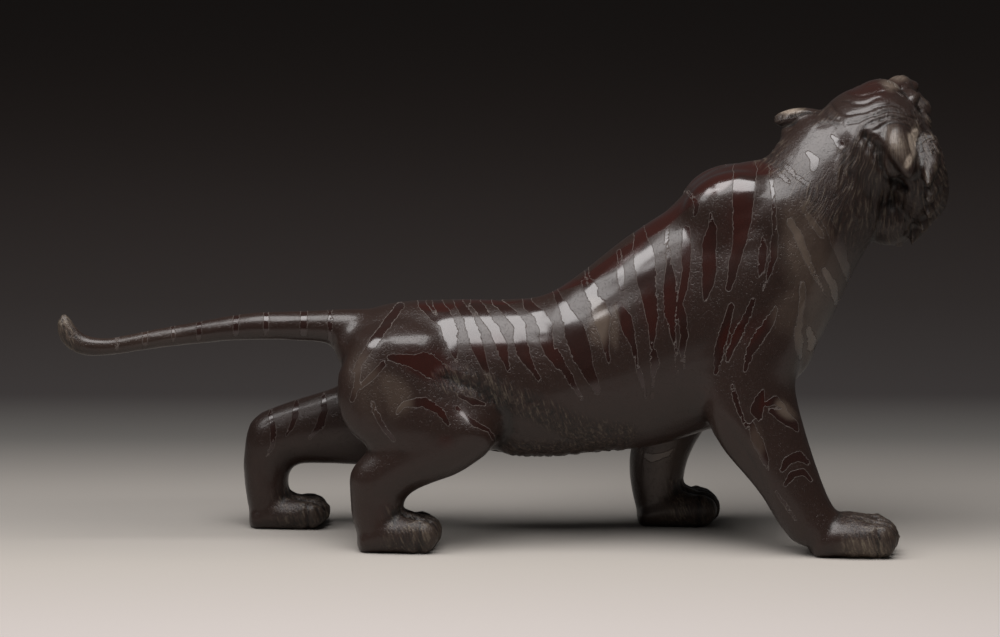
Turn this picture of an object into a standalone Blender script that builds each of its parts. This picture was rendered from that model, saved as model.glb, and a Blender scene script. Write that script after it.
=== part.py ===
"""A cast bronze tiger that strides forward with its head thrown back over its left shoulder.

The figure is one solid casting. It faces +X, its left side is +Y, and its four flat soles stand on z = 0.
Sizes are in millimetres, and the mesh is written in metres. Lofts and ellipsoids rough out the masses, a
voxel remesh fuses them, and a filling pass rounds each crease as a modeller rounds wax before casting.
"""

import math
from collections import namedtuple

import bmesh
import bpy
import numpy as np
from mathutils import Matrix, Vector

MM = 0.001

# Fineness of the mesh.
CORE_VOXEL = 1.6
DETAIL_VOXEL = 1.0
TRIANGLES = 11600
AROUND = 32
STEPS = 6
EVEN_PASSES = 2
CREASE_PASSES = 60
BLEND_PASSES = 3
POLISH_PASSES = 4

# The head keeps more triangles than the rest within this reach of its centre.
HEAD_REACH = 58
PLAIN_WEIGHT = 1.0
HEAD_WEIGHT = 0.3

# A loft ends in a dome: its height as a share of the last ring's half width, and the angles of its rings.
DOME_HEIGHT = 0.5
DOME_ANGLES = (0.35, 0.7, 1.05, 1.35)

# A slice across the trunk or a limb: two points of the side view, x and z, then its place and size across.
Slice = namedtuple("Slice", "upper lower side half_width egg", defaults=(0.0,))

# Trunk and neck, from the rump forward.
TRUNK = (
    Slice((-76, 99), (-70, 71), 0, 14),
    Slice((-64, 107), (-62, 55), 0, 24),
    Slice((-48, 111), (-44, 47), 0, 29, -0.05),
    Slice((-25, 112), (-18, 42), 0, 30, -0.05),
    Slice((0, 112), (5, 38), 0, 28, -0.05),
    Slice((18, 114), (24, 38), 0, 28.5, -0.08),
    Slice((34, 123.5), (44, 40), 0, 31, -0.1),
    Slice((56, 141), (71, 43), 0, 34, -0.1),
    Slice((79, 156.5), (97, 51), 0, 36, -0.1),
    Slice((94, 170), (120, 57), 0, 36, -0.15),
    Slice((109, 175.5), (136, 75), 0, 34, -0.2),
    Slice((121, 178), (152, 102), 2, 31, -0.15),
    Slice((128, 186), (165, 128), 6, 29),
    Slice((138, 197), (177, 148), 10, 26),
)

# Muscles that show under the skin: centre and radii. Each has a twin on the other side.
MUSCLES = {
    "shoulder blade": ((106, 14, 152), (23, 11, 19.5)),
    "shoulder": ((113, 23, 112), (22, 16, 38)),
    "breast": ((130, 13, 99), (15, 15, 24)),
    "hip": ((-48, 17, 82), (24, 16, 23)),
}

# Hind legs. The right one is gathered under the hip, and the left one is stretched back.
RIGHT_THIGH = (
    Slice((-71, 94), (-24, 97), -14, 19),
    Slice((-78, 77), (-12, 75), -20, 17.5),
    Slice((-75, 58), (-4, 61), -25, 15.5),
    Slice((-62, 46), (-4, 49), -28, 12.5),
)
RIGHT_SHANK = (
    Slice((-26, 68), (-5, 46), -28, 12.5),
    Slice((-42, 61), (-21, 35), -28, 12.5),
    Slice((-57, 51), (-37, 29), -28, 12),
    Slice((-71, 37), (-45, 24), -27.5, 11.5),
    Slice((-72, 25), (-47, 18.5), -27, 11),
    Slice((-71, 13), (-48, 12), -27, 11.5),
    Slice((-67.5, 3), (-47, 6), -27, 12.5),
)
LEFT_THIGH = (
    Slice((-71, 95.5), (-24, 98.5), 14, 19),
    Slice((-77, 78.5), (-16, 76.5), 19, 17),
    Slice((-76, 61.5), (-20, 55.5), 23, 15),
    Slice((-70, 47.5), (-30, 39.5), 25, 13),
)
LEFT_SHANK = (
    Slice((-50, 75.5), (-34, 35.5), 25, 13),
    Slice((-68, 71.5), (-62, 28.5), 26, 13),
    Slice((-84, 64.5), (-82, 28.5), 27, 12.5),
    Slice((-103, 58.5), (-97, 28.5), 27, 12),
    Slice((-120, 50.5), (-102, 26.5), 27, 11.5),
    Slice((-124.5, 34.5), (-103, 22.5), 27, 11),
    Slice((-124.5, 20), (-103, 17), 27, 11.5),
    Slice((-122, 3), (-102, 6), 27, 12.5),
)

# Forelegs. The right one reaches forward, and the left one stands back under the chest.
RIGHT_FORELEG = (
    Slice((97, 118), (142, 118), -21, 16),
    Slice((93, 94), (138, 96), -25, 16),
    Slice((91, 76), (134, 77), -27, 15.5),
    Slice((94, 58), (138, 58), -30, 14.5),
    Slice((106, 39), (144, 39), -33, 13.5),
    Slice((119, 22), (151, 22), -35, 12.5),
    Slice((132, 5), (160, 11), -36, 12.5),
)
LEFT_FORELEG = (
    Slice((90, 117.5), (136, 117.5), 21, 16),
    Slice((83, 95.5), (130, 95.5), 25, 16),
    Slice((74, 75.5), (116, 77.5), 27, 15.5),
    Slice((65, 55.5), (104, 57.5), 29, 14.5),
    Slice((60, 35.5), (91, 37.5), 31, 13),
    Slice((59.5, 21.5), (86, 22.5), 32, 12.5),
    Slice((63, 4), (85, 7), 32, 13),
)

# Paws: the back of the heel in x and y, then length, width and height.
Paw = namedtuple("Paw", "heel length width height")
PAWS = (
    Paw((-71, -26.5), 42.5, 29, 17),
    Paw((-125, 27), 42.5, 29, 14),
    Paw((138, -36), 44.5, 32, 17.5),
    Paw((61, 32), 42.5, 31, 17),
)
SOLE_DROP = 4

# The paw's pad as rings: shares of the paw's length, height and half width.
PAD_RINGS = ((0.14, 0.7, 0.8), (0.35, 1.0, 0.92), (0.6, 1.0, 1.0), (0.8, 0.78, 0.9))

# Toes: their length, how far the outer ones stand back, and shares of the paw's half width and height.
TOE_COUNT = 4
TOE_LENGTH = 19
TOE_STAND_BACK = 3.2
TOE_SPREAD = 0.93
TOE_BREADTH = 1.28
TOE_MIDDLE = 0.4
TOE_THICKNESS = 0.48

# The floor's height in the measures above, where the soles are cut flat.
FLOOR = -1.3

# The tail's own line in x, y and z, with its radius, from the root to where the tip curls up.
TAIL = (
    (-62, 0, 95, 13),
    (-78, 0, 98.7, 8.8),
    (-96, 1, 99.3, 7.2),
    (-119, 2, 98.9, 6.6),
    (-142, 2, 96.1, 5.6),
    (-166, 1, 92.7, 4.9),
    (-184, 0, 89.7, 4.5),
    (-197, 0, 90.2, 5.1),
    (-203.5, 0, 94.7, 5.2),
    (-206, 0, 100.7, 4.1),
    (-205.5, 0, 105.5, 2.2),
)

# How the head is held, in degrees. In its own axes x runs to the nose, y to the left ear, z to the crown.
HEAD_CENTRE = (169, 12, 185)
HEAD_TURN = 54
HEAD_LIFT = 29
HEAD_ROLL = 7
SKULL = (
    Slice((-27, 9), (-27, -10), 0, 13),
    Slice((-20, 18), (-20, -20), 0, 21),
    Slice((-8, 22.5), (-8, -28), 0, 26),
    Slice((6, 23.5), (6, -31), 0, 27.5),
    Slice((17, 20), (16, -28), 0, 23.5),
    Slice((24, 14.5), (24, -22), 0, 16.5, -0.1),
    Slice((32, 10.5), (32, -15), 0, 10.5, -0.1),
    Slice((38, 8), (38, -10), 0, 9, -0.1),
)

# Soft masses of the head: centre and radii. The pairs are given on the left side.
HEAD_PAIRS = {
    "cheek": ((5, 19, -11.5), (18, 13, 17)),
    "cheek bone": ((19, 15.5, -4), (11, 6.5, 7)),
    "ruff": ((-2, 25.5, -18.5), (15, 14, 22)),
    "throat ruff": ((-12, 13, -32), (15, 13, 14)),
    "brow": ((18.5, 10.5, 10.8), (9, 7.5, 3.6)),
    "whisker pad": ((33.5, 7.4, -6), (10.5, 7.6, 7)),
    "eye": ((25.2, 10.6, 4.6), (5, 5, 4.4)),
}
HEAD_MIDDLES = {
    "forehead": ((10, 0, 13.5), (18, 13, 9)),
    "nose bridge": ((24, 0, 7.8), (19, 7.4, 6)),
    "muzzle": ((31.5, 0, -4), (12.5, 10.5, 8)),
    "nose": ((41, 0, 3.4), (3.8, 6.4, 4)),
    "chin": ((28, 0, -15.5), (12, 10.5, 6)),
    "jaw": ((16, 0, -20), (19, 14.5, 8)),
}

# Locks of the ruff: root, bend and tip on the left side. A lock tapers from its root to its tip.
RUFF_LOCKS = (
    ((7, 27, -1), (-4, 34, -3), (-17, 39.5, -6)),
    ((8, 28, -8), (-3, 35, -11), (-17, 39, -16)),
    ((8, 28, -15), (-3, 35, -19), (-17, 37, -25)),
    ((8, 26, -22), (-3, 33, -27), (-18, 33, -34)),
    ((8, 22, -28), (-4, 28, -34), (-19, 27, -41)),
    ((8, 15, -32), (-4, 20, -39), (-18, 19, -45)),
    ((9, 7, -34), (-3, 8, -41), (-17, 7, -46)),
)
LOCK_ROOT = 6.2
LOCK_BEND = 4.8
LOCK_TIP = 1.4
LOCK_STEPS = 3

# The ears are laid back: the middle of each base, the ways that it points and its hollow faces, its length.
Ear = namedtuple("Ear", "root points faces length")
EARS = (
    Ear((-6, 22, 12.5), (-0.5, 0.84, 0.14), (-0.85, 0.1, -0.5), 20),
    Ear((-7, -22, 12), (-0.62, -0.41, -0.67), (-0.25, 0.7, -0.64), 21),
)
EAR_WIDTH = 17
EAR_THICKNESS = 10
EAR_HOLLOW = 7

# Shares of the ear's length, and for the hollow's width of its width.
EAR_MIDDLE = 0.35
EAR_HALF_LENGTH = 0.65
HOLLOW_MIDDLE = 0.4
HOLLOW_HALF_LENGTH = 0.5
HOLLOW_HALF_WIDTH = 0.36


def catmull_rom(rows, steps):
    """Rows of numbers read off a smooth curve through the given rows."""
    rows = np.asarray(rows, float)
    padded = np.vstack([2 * rows[0] - rows[1], rows, 2 * rows[-1] - rows[-2]])
    found = []
    for first in range(len(rows) - 1):
        a, b, c, d = padded[first : first + 4]
        for t in np.arange(steps) / steps:
            bend = (2 * a - 5 * b + 4 * c - d) * t**2
            twist = (3 * b - a - 3 * c + d) * t**3
            found.append((2 * b + (c - a) * t + bend + twist) / 2)
    return np.array(found + [rows[-1]])


def rounded_end(rings):
    """Rings that close a loft with a dome after its last ring."""
    last = rings[-1]
    way = last[:3] - rings[-2][:3]
    way /= np.linalg.norm(way)
    reach = DOME_HEIGHT * min(np.linalg.norm(last[3:6]), np.linalg.norm(last[6:9]))
    found = []
    for angle in DOME_ANGLES:
        row = last.copy()
        row[:3] += way * reach * math.sin(angle)
        row[3:9] *= math.cos(angle)
        found.append(row)
    return np.array(found)


def add_loft(bm, rows, matrix=None):
    """A closed tube through rows that hold a ring's centre, its two half axes and its egg shift."""
    matrix = matrix or Matrix.Identity(4)
    rings = catmull_rom(rows, STEPS)
    rings = np.vstack([rounded_end(rings[::-1])[::-1], rings, rounded_end(rings)])
    angles = np.arange(AROUND) * 2 * math.pi / AROUND
    loops = []
    for row in rings:
        along = np.cos(angles) + row[9] * np.sin(angles) ** 2
        points = row[:3] + np.outer(along, row[3:6]) + np.outer(np.sin(angles), row[6:9])
        loops.append([bm.verts.new(matrix @ Vector(p)) for p in points])
    for lower, upper in zip(loops, loops[1:]):
        for i in range(AROUND):
            j = (i + 1) % AROUND
            bm.faces.new((lower[i], lower[j], upper[j], upper[i]))
    bm.faces.new(loops[0][::-1])
    bm.faces.new(loops[-1])


def side_rows(slices):
    """Loft rows for slices that are given in the side view."""
    rows = []
    for s in slices:
        upper, lower = np.array([s.upper[0], 0, s.upper[1]]), np.array([s.lower[0], 0, s.lower[1]])
        centre = (upper + lower) / 2 + (0, s.side, 0)
        rows.append([*centre, *(upper - lower) / 2, 0, s.half_width, 0, s.egg])
    return rows


def tube_rows(points):
    """Loft rows for a round tube along points that hold x, y, z and a radius."""
    points = np.asarray(points, float)
    ways = np.gradient(points[:, :3], axis=0)
    rows = []
    for point, way in zip(points, ways):
        way = way / np.linalg.norm(way)
        helper = np.array([0, 1, 0]) if abs(way[1]) < 0.8 else np.array([0, 0, 1])
        first = np.cross(way, helper)
        first /= np.linalg.norm(first)
        second = np.cross(way, first)
        rows.append([*point[:3], *first * point[3], *second * point[3], 0])
    return rows


def add_ellipsoid(bm, centre, radii, matrix=None):
    """A closed ellipsoid, on the axes of the matrix."""
    place = (matrix or Matrix.Identity(4)) @ Matrix.Translation(centre) @ Matrix.Diagonal((*radii, 1))
    bmesh.ops.create_icosphere(bm, subdivisions=4, radius=1, matrix=place)


def mirrored(point, side):
    """The point on the given side, where 1 is the left and -1 the right."""
    return (point[0], point[1] * side, point[2])


def head_matrix():
    """Where the head stands and how it is turned."""
    turn = Matrix.Rotation(math.radians(HEAD_TURN), 4, "Z")
    lift = Matrix.Rotation(math.radians(-HEAD_LIFT), 4, "Y")
    roll = Matrix.Rotation(math.radians(HEAD_ROLL), 4, "X")
    return Matrix.Translation(HEAD_CENTRE) @ turn @ lift @ roll


def ear_matrix(ear):
    """The ear's own axes in the head: x to its tip, y across it and z out of its hollow."""
    points = Vector(ear.points).normalized()
    faces = Vector(ear.faces)
    faces = (faces - faces.dot(points) * points).normalized()
    across = faces.cross(points)
    turned = Matrix((points, across, faces)).transposed().to_4x4()
    return Matrix.Translation(ear.root) @ turned


def add_trunk(bm):
    """Trunk, neck, tail and the muscles that show."""
    add_loft(bm, side_rows(TRUNK))
    add_loft(bm, tube_rows(TAIL))
    for centre, radii in MUSCLES.values():
        for side in (-1, 1):
            add_ellipsoid(bm, mirrored(centre, side), radii)


def add_legs(bm):
    """The four legs without their paws."""
    for slices in (RIGHT_THIGH, RIGHT_SHANK, LEFT_THIGH, LEFT_SHANK, RIGHT_FORELEG, LEFT_FORELEG):
        add_loft(bm, side_rows(slices))


def add_paw(bm, paw):
    """A paw with its pad, its knuckles and a fan of toes."""
    (x, y), length, width, height = paw
    half = width / 2
    pad = []
    for along, high, wide in PAD_RINGS:
        place = x + length * along
        pad.append(Slice((place, height * high), (place, -SOLE_DROP), y, half * wide))
    add_loft(bm, side_rows(pad))
    toe = TOE_LENGTH / 2
    for number in range(TOE_COUNT):
        across = (number + 0.5) / TOE_COUNT * 2 - 1
        reach = length - toe - TOE_STAND_BACK * across**2
        centre = (x + reach, y + across * half * TOE_SPREAD, height * TOE_MIDDLE)
        add_ellipsoid(bm, centre, (toe, half / TOE_COUNT * TOE_BREADTH, height * TOE_THICKNESS))


def add_skull(bm, head):
    """The skull, on which the features of the face are set."""
    add_loft(bm, side_rows(SKULL), head)


def add_lock(bm, root, bend, tip, matrix):
    """A lock of hair that tapers from its root to its tip."""
    points = [(*root, LOCK_ROOT), (*bend, LOCK_BEND), (*tip, LOCK_TIP)]
    add_loft(bm, tube_rows(catmull_rom(points, LOCK_STEPS)), matrix)


def add_face(bm, head):
    """Cheeks, ruff, brows, eyes, muzzle, nose, chin and ears."""
    for side in (-1, 1):
        for centre, radii in HEAD_PAIRS.values():
            add_ellipsoid(bm, mirrored(centre, side), radii, head)
        for root, bend, tip in RUFF_LOCKS:
            add_lock(bm, mirrored(root, side), mirrored(bend, side), mirrored(tip, side), head)
    for ear in EARS:
        radii = (ear.length * EAR_HALF_LENGTH, EAR_WIDTH / 2, EAR_THICKNESS / 2)
        add_ellipsoid(bm, (ear.length * EAR_MIDDLE, 0, 0), radii, head @ ear_matrix(ear))
    for centre, radii in HEAD_MIDDLES.values():
        add_ellipsoid(bm, centre, radii, head)


def mesh_from(bm, name):
    """The bmesh as a mesh with its faces pointing out."""
    bmesh.ops.recalc_face_normals(bm, faces=bm.faces)
    mesh = bpy.data.meshes.new(name)
    bm.to_mesh(mesh)
    bm.free()
    return mesh


def with_modifier(mesh, kind, **settings):
    """The mesh as one modifier leaves it."""
    helper = bpy.data.objects.new("helper", mesh)
    bpy.context.scene.collection.objects.link(helper)
    modifier = helper.modifiers.new(kind, kind)
    for name, value in settings.items():
        setattr(modifier, name, value)
    graph = bpy.context.evaluated_depsgraph_get()
    result = bpy.data.meshes.new_from_object(helper.evaluated_get(graph))
    bpy.data.objects.remove(helper)
    return result


def fused(mesh, voxel):
    """The outer skin of overlapping shapes."""
    return with_modifier(mesh, "REMESH", mode="VOXEL", voxel_size=voxel, adaptivity=0.0)


def points_of(mesh):
    """The mesh's points as rows of x, y and z."""
    points = np.empty(len(mesh.vertices) * 3)
    mesh.vertices.foreach_get("co", points)
    return points.reshape(-1, 3)


def normals_of(mesh):
    """The mesh's outward directions, one for each point."""
    normals = np.empty(len(mesh.vertices) * 3)
    mesh.vertex_normals.foreach_get("vector", normals)
    return normals.reshape(-1, 3)


def set_points(mesh, points):
    """Moves the mesh's points."""
    mesh.vertices.foreach_set("co", np.ascontiguousarray(points, dtype=np.float32).ravel())
    mesh.update()


def smoothed(points, edges, passes):
    """The points after passes that draw each one halfway to the middle of its neighbours."""
    ends = np.concatenate([edges, edges[:, ::-1]])
    count = np.bincount(ends[:, 0], minlength=len(points))[:, None]
    for _ in range(passes):
        sums = [np.bincount(ends[:, 0], points[ends[:, 1], axis], len(points)) for axis in range(3)]
        points = (points + np.stack(sums, axis=1) / count) / 2
    return points


def edges_of(mesh):
    """The mesh's edges as pairs of point numbers."""
    edges = np.empty(len(mesh.edges) * 2, dtype=np.int64)
    mesh.edges.foreach_get("vertices", edges)
    return edges.reshape(-1, 2)


def fill_creases(mesh, passes):
    """Rounds the inward creases, and leaves outward forms where they are."""
    edges = edges_of(mesh)
    points = smoothed(points_of(mesh), edges, EVEN_PASSES)
    set_points(mesh, points)
    normals = normals_of(mesh)
    moves = smoothed(points, edges, passes) - points
    outward = np.einsum("ij,ij->i", moves, normals).clip(0, None)
    points = points + normals * outward[:, None]
    set_points(mesh, smoothed(points, edges, BLEND_PASSES))


def press_hollow(mesh, centre, radii, matrix):
    """Sinks the points inside an ellipsoid to its far side, against the z axis of the matrix."""
    place = np.array(matrix @ Matrix.Translation(centre) @ Matrix.Diagonal((*radii, 1)))
    back = np.linalg.inv(place)
    points = points_of(mesh)
    local = points @ back[:3, :3].T + back[:3, 3]
    inside = (local**2).sum(axis=1) < 1
    across = (local[inside, :2] ** 2).sum(axis=1).clip(0, 1)
    local[inside, 2] = -np.sqrt(1 - across)
    points[inside] = local[inside] @ place[:3, :3].T + place[:3, 3]
    set_points(mesh, points)


def thinned(mesh):
    """The mesh with fewer triangles, which keeps more of them on the head."""
    centre = np.array(HEAD_CENTRE)
    away = np.linalg.norm(points_of(mesh) - centre, axis=1)
    weights = np.where(away < HEAD_REACH, HEAD_WEIGHT, PLAIN_WEIGHT)
    helper = bpy.data.objects.new("helper", mesh)
    bpy.context.scene.collection.objects.link(helper)
    group = helper.vertex_groups.new(name="plain")
    for weight in (HEAD_WEIGHT, PLAIN_WEIGHT):
        group.add(np.flatnonzero(weights == weight).tolist(), weight, "REPLACE")
    modifier = helper.modifiers.new("Decimate", "DECIMATE")
    modifier.vertex_group = group.name
    modifier.vertex_group_factor = 1.0
    modifier.ratio = TRIANGLES / (2 * len(mesh.polygons))
    graph = bpy.context.evaluated_depsgraph_get()
    result = bpy.data.meshes.new_from_object(helper.evaluated_get(graph))
    bpy.data.objects.remove(helper)
    return result


def cut_soles(mesh):
    """Cuts the paws flat at the floor and makes every face a triangle."""
    bm = bmesh.new()
    bm.from_mesh(mesh)
    everything = bm.verts[:] + bm.edges[:] + bm.faces[:]
    floor = (0, 0, FLOOR)
    cut = bmesh.ops.bisect_plane(bm, geom=everything, plane_co=floor, plane_no=(0, 0, 1), clear_inner=True)
    rim = [edge for edge in cut["geom_cut"] if isinstance(edge, bmesh.types.BMEdge)]
    bmesh.ops.holes_fill(bm, edges=rim)
    bmesh.ops.triangulate(bm, faces=bm.faces)
    return mesh_from(bm, mesh.name)


def centred(mesh):
    """The mesh in metres, with the middle of its box over the origin."""
    points = points_of(mesh)
    middle = (points.min(axis=0) + points.max(axis=0)) / 2
    set_points(mesh, (points - (middle[0], middle[1], FLOOR)) * MM)
    return mesh


def bronze():
    """Dark brown patinated bronze."""
    material = bpy.data.materials.new("patinated_bronze")
    material.use_nodes = True
    shader = material.node_tree.nodes["Principled BSDF"]
    shader.inputs["Base Color"].default_value = (0.045, 0.022, 0.016, 1)
    shader.inputs["Metallic"].default_value = 0.85
    shader.inputs["Roughness"].default_value = 0.34
    return material


def build_tiger():
    """The whole casting as one mesh."""
    head = head_matrix()
    core = bmesh.new()
    add_trunk(core)
    add_legs(core)
    add_skull(core, head)
    skin = fused(mesh_from(core, "core"), CORE_VOXEL)
    fill_creases(skin, CREASE_PASSES)

    details = bmesh.new()
    details.from_mesh(skin)
    for paw in PAWS:
        add_paw(details, paw)
    add_face(details, head)
    skin = fused(mesh_from(details, "details"), DETAIL_VOXEL)
    for ear in EARS:
        centre = (ear.length * HOLLOW_MIDDLE, 0, EAR_THICKNESS / 2)
        radii = (ear.length * HOLLOW_HALF_LENGTH, EAR_WIDTH * HOLLOW_HALF_WIDTH, EAR_HOLLOW)
        press_hollow(skin, centre, radii, head @ ear_matrix(ear))
    set_points(skin, smoothed(points_of(skin), edges_of(skin), POLISH_PASSES))
    return centred(cut_soles(thinned(skin)))


def main():
    for thing in list(bpy.data.objects):
        bpy.data.objects.remove(thing, do_unlink=True)
    mesh = build_tiger()
    mesh.name = "tiger"
    mesh.shade_smooth()
    tiger = bpy.data.objects.new("tiger", mesh)
    tiger.data.materials.clear()
    tiger.data.materials.append(bronze())
    bpy.context.scene.collection.objects.link(tiger)


if __name__ == "__main__":
    main()
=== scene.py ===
"""The looks of a cast bronze tiger that strides with its head thrown back over its left shoulder.

The figure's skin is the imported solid, remade as a fine mesh and carved: the face, the mane's hair, the tufts
under the flank, the wrinkles of the crown and the strands of the toes. Its patina is a matte, finely pitted
ground crossed by polished stripes with engraved outlines. Sizes are in millimetres in the figure's own
measures unless a name says otherwise. Stripes and locks of hair that show in the photograph are given as
strokes in its pixels, 1000 across and 637 down, and are laid on the side of the figure that the camera sees
and, turned over, on the other side.
"""

import logging
import math
from dataclasses import dataclass
from enum import Enum

import bpy
import numpy as np
from mathutils import Matrix, Vector

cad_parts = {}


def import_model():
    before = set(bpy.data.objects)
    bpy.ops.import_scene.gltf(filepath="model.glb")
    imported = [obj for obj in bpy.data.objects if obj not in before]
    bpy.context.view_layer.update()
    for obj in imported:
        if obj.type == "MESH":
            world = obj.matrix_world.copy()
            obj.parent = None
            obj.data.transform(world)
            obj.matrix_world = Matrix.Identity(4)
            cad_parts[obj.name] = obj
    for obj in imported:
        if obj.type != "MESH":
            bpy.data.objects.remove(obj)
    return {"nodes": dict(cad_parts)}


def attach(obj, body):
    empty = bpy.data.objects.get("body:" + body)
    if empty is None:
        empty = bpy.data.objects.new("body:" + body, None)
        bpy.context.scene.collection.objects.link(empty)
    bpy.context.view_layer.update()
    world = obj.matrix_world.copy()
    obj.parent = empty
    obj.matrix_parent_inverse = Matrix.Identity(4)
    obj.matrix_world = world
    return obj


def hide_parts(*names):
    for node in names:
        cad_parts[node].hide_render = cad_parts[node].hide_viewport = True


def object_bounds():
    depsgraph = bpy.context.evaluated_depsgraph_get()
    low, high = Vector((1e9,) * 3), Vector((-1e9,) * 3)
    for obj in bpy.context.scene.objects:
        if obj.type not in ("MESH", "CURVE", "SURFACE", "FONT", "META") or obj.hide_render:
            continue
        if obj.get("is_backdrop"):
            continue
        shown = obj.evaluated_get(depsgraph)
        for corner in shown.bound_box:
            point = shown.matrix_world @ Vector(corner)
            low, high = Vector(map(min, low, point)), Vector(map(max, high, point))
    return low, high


LOG = logging.getLogger("tiger")
MM = 0.001
BODY = "root"
NODE = "tiger"
SLOT = "patinated_bronze"
PICTURE_WIDTH = 1000
PICTURE_HEIGHT = 637
SENSOR = 36.0

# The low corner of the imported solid's box in the figure's own measures.
FIGURE_LOW = np.array((-209.285, -52.111, -1.3))

Stroke = tuple[tuple[float, float, float], ...]
Point = tuple[float, float, float]
Colour = tuple[float, float, float]


class Attribute(Enum):
    """What the mesh tells the patina about each point."""

    STRIPE = "stripe_distance"
    RED = "red_patina"
    TAN = "tan_patina_and_painted_light"
    HAIR = "hair_mask"
    STRAND = "strand_place"
    CAVITY = "cavity"


# Polished stripes on the side that shows: pixel column, row and full width along each stroke.
RUMP_STRIPES: tuple[Stroke, ...] = (
    ((400, 306, 8), (388, 322, 9), (374, 341, 9), (364, 356, 8), (353, 372, 4)),
    ((383, 364, 6), (372, 376, 7), (361, 386, 5)),
    ((359, 366, 5), (357, 385, 6), (352, 400, 4)),
    ((390, 357, 6), (410, 361, 13), (425, 363, 22), (440, 373, 19), (452, 384, 12), (462, 392, 5)),
    ((398, 412, 3), (404, 404, 5), (425, 402, 10), (440, 412, 8), (448, 424, 3)),
    ((460, 396, 5), (474, 402, 8), (484, 404, 4)),
    ((456, 407, 4), (470, 421, 6), (488, 430, 5), (496, 441, 3)),
    ((372, 402, 3), (376, 414, 6), (384, 428, 6), (394, 440, 3)),
)
LOIN_STRIPES: tuple[Stroke, ...] = (
    ((421, 296, 8), (423, 306, 8), (434, 318, 6), (444, 328, 2)),
    ((436, 296, 9), (438, 304, 10), (446, 318, 14), (450, 332, 16), (453, 346, 10), (456, 360, 4)),
    ((457, 296, 9), (459, 303, 9), (467, 316, 10), (473, 330, 12), (477, 345, 12), (482, 360, 10),
     (488, 374, 4)),
    ((474, 296, 9), (476, 303, 10), (486, 317, 10), (495, 330, 10), (501, 345, 12), (505, 358, 8),
     (509, 372, 3)),
    ((495, 295, 9), (497, 302, 9), (509, 312, 11), (520, 325, 12), (520, 338, 14), (523, 352, 13),
     (530, 366, 8), (540, 380, 3)),
    ((526, 296, 9), (528, 304, 10), (541, 316, 12), (546, 327, 14), (546, 340, 14),
     (550, 352, 10), (558, 366, 5)),
    ((556, 349, 5), (563, 366, 7), (573, 384, 6), (582, 399, 3)),
)
FLANK_STRIPES: tuple[Stroke, ...] = (
    ((554, 288, 6), (558, 296, 6), (566, 312, 12), (574, 328, 20), (578, 342, 22), (583, 358, 18),
     (590, 375, 12), (598, 392, 6)),
    ((584, 282, 5), (587, 291, 5), (598, 305, 16), (602, 318, 18), (604, 333, 10), (606, 348, 6),
     (609, 362, 3)),
    ((586, 268, 4), (588, 277, 4), (594, 288, 6), (597, 299, 3)),
    ((619, 252, 5), (620, 262, 5), (621, 276, 8), (622, 289, 5)),
    ((618, 305, 8), (625, 318, 13), (629, 332, 12), (633, 345, 5), (637, 364, 4), (643, 384, 5),
     (645, 397, 3)),
    ((638, 224, 12), (640, 236, 12), (643, 250, 20), (645, 265, 22), (647, 280, 19), (649, 296, 16),
     (652, 312, 13), (652, 330, 8), (652, 349, 3)),
    ((654, 352, 6), (655, 362, 9), (653, 374, 5), (653, 398, 2)),
    ((667, 229, 4), (667, 238, 5), (665, 245, 2)),
    ((668, 248, 4), (669, 262, 6), (670, 278, 12), (670, 295, 13), (670, 312, 12), (672, 328, 6),
     (675, 345, 3), (677, 375, 2)),
    ((686, 230, 8), (686, 250, 10), (686, 270, 8), (683, 290, 9), (680, 303, 6), (683, 318, 9),
     (684, 335, 8), (682, 352, 6), (684, 368, 3)),
    ((688, 192, 3), (697, 203, 4), (695, 215, 3)),
)
SHOULDER_STRIPES: tuple[Stroke, ...] = (
    ((711, 214, 3), (712, 228, 9), (709, 245, 14), (709, 265, 14), (708, 283, 12), (705, 298, 5)),
    ((745, 160, 20), (745, 170, 24), (744, 190, 22), (743, 210, 20), (741, 230, 16), (738, 250, 12),
     (733, 268, 10), (729, 288, 6)),
    ((763, 236, 3), (763, 250, 9), (762, 265, 7), (759, 279, 2)),
    ((771, 172, 4), (772, 186, 4), (774, 210, 4), (775, 235, 6), (774, 255, 8), (770, 270, 5),
     (763, 290, 2)),
    ((731, 306, 6), (725, 330, 9), (719, 350, 9), (716, 372, 5)),
    ((753, 300, 5), (747, 315, 7), (739, 332, 9), (731, 350, 8), (727, 362, 3)),
    ((776, 308, 4), (769, 322, 10), (759, 337, 12), (750, 352, 9), (745, 370, 4)),
)
CHEST_STRIPES: tuple[Stroke, ...] = (
    ((790, 222, 7), (797, 233, 8), (803, 248, 7), (809, 263, 6), (815, 276, 4), (827, 298, 2)),
    ((803, 207, 5), (812, 222, 8), (823, 237, 5)),
    ((804, 202, 4), (820, 208, 8), (826, 220, 9), (834, 235, 11), (840, 250, 12), (846, 268, 9),
     (848, 281, 3)),
    ((824, 270, 5), (832, 283, 9), (837, 303, 6)),
    ((802, 283, 5), (803, 297, 6), (801, 315, 5), (798, 330, 8), (799, 345, 9), (800, 358, 4)),
    ((808, 328, 5), (813, 342, 9), (810, 350, 5)),
    ((770, 166, 4), (779, 173, 5), (790, 183, 4)),
    ((786, 166, 4), (797, 177, 5), (808, 184, 4)),
    ((808, 153, 5), (815, 160, 9), (814, 168, 6)),
    ((832, 136, 5), (839, 143, 9), (844, 150, 5)),
)
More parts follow.
